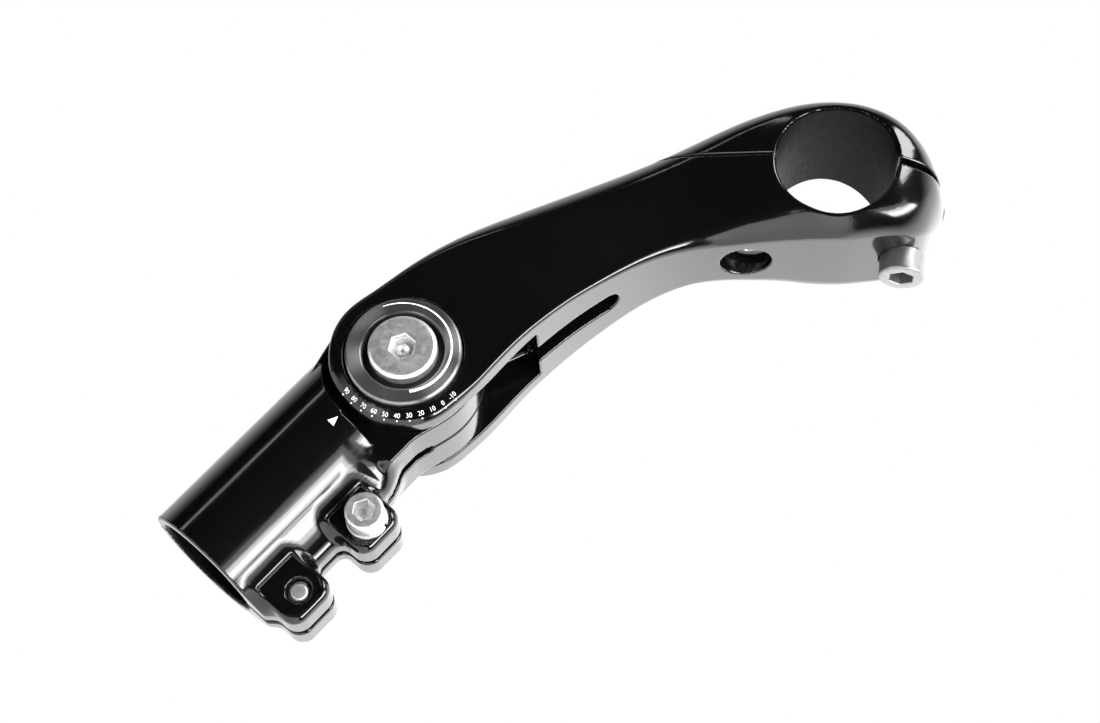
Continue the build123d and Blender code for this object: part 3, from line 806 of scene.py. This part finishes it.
def in_arm_bore(across, side, along):
    """Where the arm is only turned and darkened as painted shade: the handlebar's bore, the bolts' holes and
    the rings' seats.
    """
    forward, up = across_split(across, along)
    front_hole = np.hypot(forward - bar_bolt_forward, side) < 3.8
    rear_pocket = (np.hypot(forward + bar_bolt_forward, side) < 6.9) & (up > -20)
    return (bar_bore(across, along) < 0.4) | front_hole | rear_pocket | (np.hypot(across, along) < 13.6)


# The mop's lines run along Z here too, which is 22.5 degrees off the arm's own line.
arm_black = polished_black("polished_black_anodised_aluminium_arm", -lean)
beam = skin(
    "arm_forging", arm, (-36, -23.5, -21.5), (30, 23.5, 158), 0.55,
    [arm_black, turned_black_painted_shade], in_arm_bore, arm_to_world,
)
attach(beam, "arm")
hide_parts("arm")


# ---- Angle ring and far ring ----
# A stepped aluminium ring in each ear, with 36 face teeth that mesh with the knuckle's. Its face
# is turned and anodised dark grey, so it shows a sweep of light that goes round as it is viewed.
# The tool's rings are drawn 0.25 mm apart so that they show.
turned_grey, tree, place = finish("turned_grey_anodised_aluminium")
centred = add(tree, "ShaderNodeMapping", {"Vector": place}, Location=pivot * -0.001)
flat_way = add(tree, "ShaderNodeVectorMath", {0: centred.outputs[0]}, operation="MULTIPLY")
flat_way.inputs[1].default_value = (1, 0, 1)
far_out = add(tree, "ShaderNodeVectorMath", {0: flat_way.outputs[0]}, operation="LENGTH")
outward = add(tree, "ShaderNodeVectorMath", {0: flat_way.outputs[0]}, operation="NORMALIZE")
radius_only = add(tree, "ShaderNodeCombineXYZ", {"X": far_out.outputs["Value"]})
rings = add(tree, "ShaderNodeTexNoise", {"Vector": radius_only.outputs[0]}, Scale=4000.0, Detail=2.0)
tone = add(tree, "ShaderNodeMix", {"Factor": rings.outputs["Fac"]}, data_type="RGBA")
tone.inputs[6].default_value, tone.inputs[7].default_value = linear("#77777a"), linear("#a8a8ab")
lines = add(tree, "ShaderNodeBump", {"Height": rings.outputs["Fac"]}, Strength=0.35, Distance=0.00003)
links = {"Base Color": tone.outputs[2], "Normal": lines.outputs[0], "Tangent": outward.outputs[0]}
shade(tree, links, Metallic=1.0, Roughness=0.36, Anisotropic=0.9)


def face_teeth(turn, r, h):
    """How far each point of the toothed face, a flat at height 12.15, drops between the teeth."""
    toothed = (h < 12.3) & (8.4 < r < 13.45)
    wave = np.abs((turn * 36 / (2 * math.pi)) % 1 - 0.5) * 2
    return 1.2 * wave * r / 13.4 * toothed


for name, node, side in (("angle_ring_face", "angle_ring", -1), ("far_ring_face", "far_ring", 1)):
    section = profile(
        (4.15, 17.2, 0, 0), (4.15, 13.35, 0, 0), (8.3, 13.35, 0, 0), (8.45, 12.15, 0, 0),
        (10.9, 12.15, 0, 0), (13.35, 12.15, 0, 0), (13.4, 13.45, 0, 0), (13.4, 15.97, 0, 0),
        (14.95, 16.0, 0, 0), (15.0, 19.45, 0.2, 0), (14.55, 20.0, 0.25, 0), (11.0, 20.0, 0.25, 0),
        (10.6, 19.5, 0.2, 0), (10.6, 17.2, 0, 0),
    )
    seat = facing((pivot.x, 0, pivot.z), (0, side, 0))
    ring = turned(name, section, seat, turned_grey, closed=True, count=288, teeth=face_teeth)
    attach(ring, "arm")
    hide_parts(node)

# A printed white arc swells along the near ring's face and shows which way to turn the bolt.
stations = 80
turns = np.radians(np.linspace(156, -38, stations))
swell = np.linspace(0, 1, stations)
middle = 13.65 - 1.9 * swell ** 0.9
half = 0.1 + 0.26 * swell
arc = []
for a, m, h in zip(turns, middle, half):
    for r in (m - h, m + h):
        arc.append((pivot.x + r * math.cos(a), -20.02, pivot.z + r * math.sin(a)))
faces = [(2 * i, 2 * i + 2, 2 * i + 3, 2 * i + 1) for i in range(stations - 1)]
laid("turning_arc", arc, faces, ink_with_painted_glow, "arm")


# ---- Angle scale ----
# White figures and dots printed round the rim of the near ear, every 10 degrees from 90 to -10.
# The dots are laid out in Geometry Nodes; each figure is settled onto the rim's sloping face.
def settle(points):
    """Points in the arm's frame, moved from the right side onto its surface."""
    across, side, along = points.T.copy()
    side = np.full(len(across), -23.0)
    for _ in range(60):
        side = side + np.minimum(whole_arm(across, side, along), 1.0) * 0.8
    return np.stack([across, side - 0.03, along], 1)


def on_dial(r, angle):
    """Across and along the arm for a radius and an angle from +X towards +Z in the stem's frame."""
    x, z = r * np.cos(angle), r * np.sin(angle)
    return x * math.cos(lean) - z * math.sin(lean), x * math.sin(lean) + z * math.cos(lean)


# The 0 stands 11.8 degrees below +X, and the figures grow clockwise from it on the right side.
marks = range(90, -11, -10)
zero_turn = -11.8
dot_r = 18.75
figure_r = 17.6
for mark in marks:
    middle_turn = math.radians(zero_turn - mark)
    text = bpy.data.curves.new("figure", "FONT")
    text.body = str(mark)
    text.size = 1.65
    text.offset = -0.022
    text.align_x, text.align_y = "CENTER", "CENTER"
    text.resolution_u = 3
    writing = bpy.data.objects.new("figure", text)
    bpy.context.scene.collection.objects.link(writing)
    flat = bpy.data.meshes.new_from_object(writing.evaluated_get(bpy.context.evaluated_depsgraph_get()))
    bpy.data.objects.remove(writing)
    spots = np.array([v.co[:2] for v in flat.vertices])
    faces = [tuple(p.vertices) for p in flat.polygons]
    r = figure_r - spots[:, 1]
    angle = middle_turn + spots[:, 0] / figure_r
    across, along = on_dial(r, angle)
    points = arm_to_world(settle(np.stack([across, 0 * across, along], 1)))
    label = "minus_10" if mark < 0 else str(mark)
    figure = laid("scale_figure_" + label, points, faces, ink_with_painted_glow, "arm")
    if sum(p.normal.y * p.area for p in figure.data.polygons) > 0:
        figure.data.flip_normals()

dots = bpy.data.node_groups.new("printed_dots", "GeometryNodeTree")
dots.interface.new_socket("Geometry", in_out="OUTPUT", socket_type="NodeSocketGeometry")
dots.interface.new_socket("Count", in_out="INPUT", socket_type="NodeSocketInt").default_value = 11
for label, value in (("Radius", 0.018), ("Start", 0.0), ("Sweep", 1.7), ("Dot", 0.0002)):
    dots.interface.new_socket(label, in_out="INPUT", socket_type="NodeSocketFloat").default_value = value
asked = add(dots, "NodeGroupInput")
links = {"Resolution": asked.outputs["Count"], "Radius": asked.outputs["Radius"]}
links.update({"Start Angle": asked.outputs["Start"], "Sweep Angle": asked.outputs["Sweep"]})
arc_line = add(dots, "GeometryNodeCurveArc", links)
dot_spots = add(dots, "GeometryNodeCurveToPoints", {"Curve": arc_line.outputs[0]}, mode="EVALUATED")
bead = add(dots, "GeometryNodeMeshIcoSphere", {"Radius": asked.outputs["Dot"]}, Subdivisions=3)
links = {"Points": dot_spots.outputs[0], "Instance": bead.outputs[0]}
placed = add(dots, "GeometryNodeInstanceOnPoints", links)
real = add(dots, "GeometryNodeRealizeInstances", {0: placed.outputs[0]})
coated = add(dots, "GeometryNodeSetMaterial", {"Geometry": real.outputs[0]}, Material=ink_with_painted_glow)
add(dots, "NodeGroupOutput", {0: coated.outputs[0]})
across, along = on_dial(np.array([dot_r]), np.array([math.radians(-60)]))
dot_y = settle(np.stack([across, 0 * across, along], 1))[0, 1]
centre = Matrix.Translation((pivot.x * 0.001, dot_y * 0.001 + 0.00008, pivot.z * 0.001))
upright = centre @ Matrix.Rotation(math.radians(90), 4, "X")
values = {"Count": len(marks), "Radius": dot_r * 0.001, "Dot": 0.0002}
values.update({"Start": math.radians(zero_turn - marks[0]), "Sweep": math.radians(marks[0] - marks[-1])})
row_of_dots = from_nodes("scale_dots", dots, values, upright)
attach(row_of_dots, "arm")


# ---- Pivot bolt and nut ----
# A large round-headed bolt through the ears, the teeth and the sleeve, and a round nut with two
# spanner holes on the far side. Both are zinc plated steel, with a bright turned chamfer.
shape = profile(
    (0, -37.2, 0, 0), (3.3, -37.2, 0.3, 0), (4.0, -36.4, 0.3, 0), (4.0, -0.01, 0, 0), (8.7, 0, 0, 0),
    (8.9, 0.3, 0.1, 0), (8.9, 3.35, 0.25, 0), (8.15, 4.1, 0.3, 0), (3.9, 4.1, 0, 0), (3.25, 4.1, 0, 1),
    (3.0, 3.8, 0, 1), (3.0, 1.9, 0, 1), (1.7, 1.8, 0, 0), (1.35, 1.2, 0, 0), (0.7, 0.8, 0, 0),
    (0, 0.5, 0, 0),
)
bolt = turned("pivot_bolt_turned", shape, facing((pivot.x, -18.2, pivot.z), (0, -1, 0)), zinc, count=144)
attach(bolt, "arm")
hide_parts("pivot_bolt")

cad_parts["pivot_nut"].material_slots[0].material = zinc


# ---- Bar bolts ----
# Two long socket head screws that come up through the arm into the cap. The front one's head
# stands on the nose, in the shade below it, and its zinc is painted darker there as painted shade;
# the rear one's sits deep in a round pocket.
# A darker copy of the zinc, the same in all but colour: painted shade for the front head.
painted_shade_zinc = zinc_plate("dull_zinc_plated_steel", "#6e6e6e", "#a6a6a6")
# The split plane's directions forwards and upwards, and the middle of the handlebar.
forwards = Vector((0.8300, 0, 0.5577))
upwards = Vector((-0.5577, 0, 0.8300))
bar_middle = Vector((51.527, 0, 187.447))
for name, at, seat, top, metal in (
    ("front", bar_bolt_forward, 16.2, 6.6, painted_shade_zinc), ("rear", -bar_bolt_forward, 10.8, 11.0, zinc),
):
    screw(
        "bar_screw_" + name, "bar_bolt_" + name, "arm",
        facing(bar_middle + forwards * at - upwards * seat, -upwards), metal,
        head=6.1, height=7.0, shank=3.5, length=seat + top, key=6.0, threaded=seat + top - 1.2,
    )


# ---- Cap of the bar clamp ----
# The other part of the same shape: a long lid forged on its own, that the two bolts pull down
# onto the bar. Its joint is closed behind the bar and open in front of it.
def cap(across, side, along):
    """Distance to the cap, above the split plane."""
    body = whole_arm(across, side, along)
    forward, up = across_split(across, along)
    step = 0.3 + 1.4 * ease(forward, 2, 10)
    body = common(body, step - up, 0.45)
    body = cut(body, bar_bore(across, along), 1.2)
    for at, top in ((bar_bolt_forward, 7.1), (-bar_bolt_forward, 11.5)):
        body = np.maximum(body, -np.maximum(np.hypot(forward - at, side) - 3.6, up - top))
    return body


def in_cap_bore(across, side, along):
    """Where the cap is only turned and darkened as painted shade: the handlebar's bore."""
    return bar_bore(across, along) < 0.4


lid = skin(
    "bar_cap_forging", cap, (-36, -23.5, 70), (30, 23.5, 158), 0.5,
    [arm_black, turned_black_painted_shade], in_cap_bore, arm_to_world,
)
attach(lid, "bar_cap")
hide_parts("bar_cap")
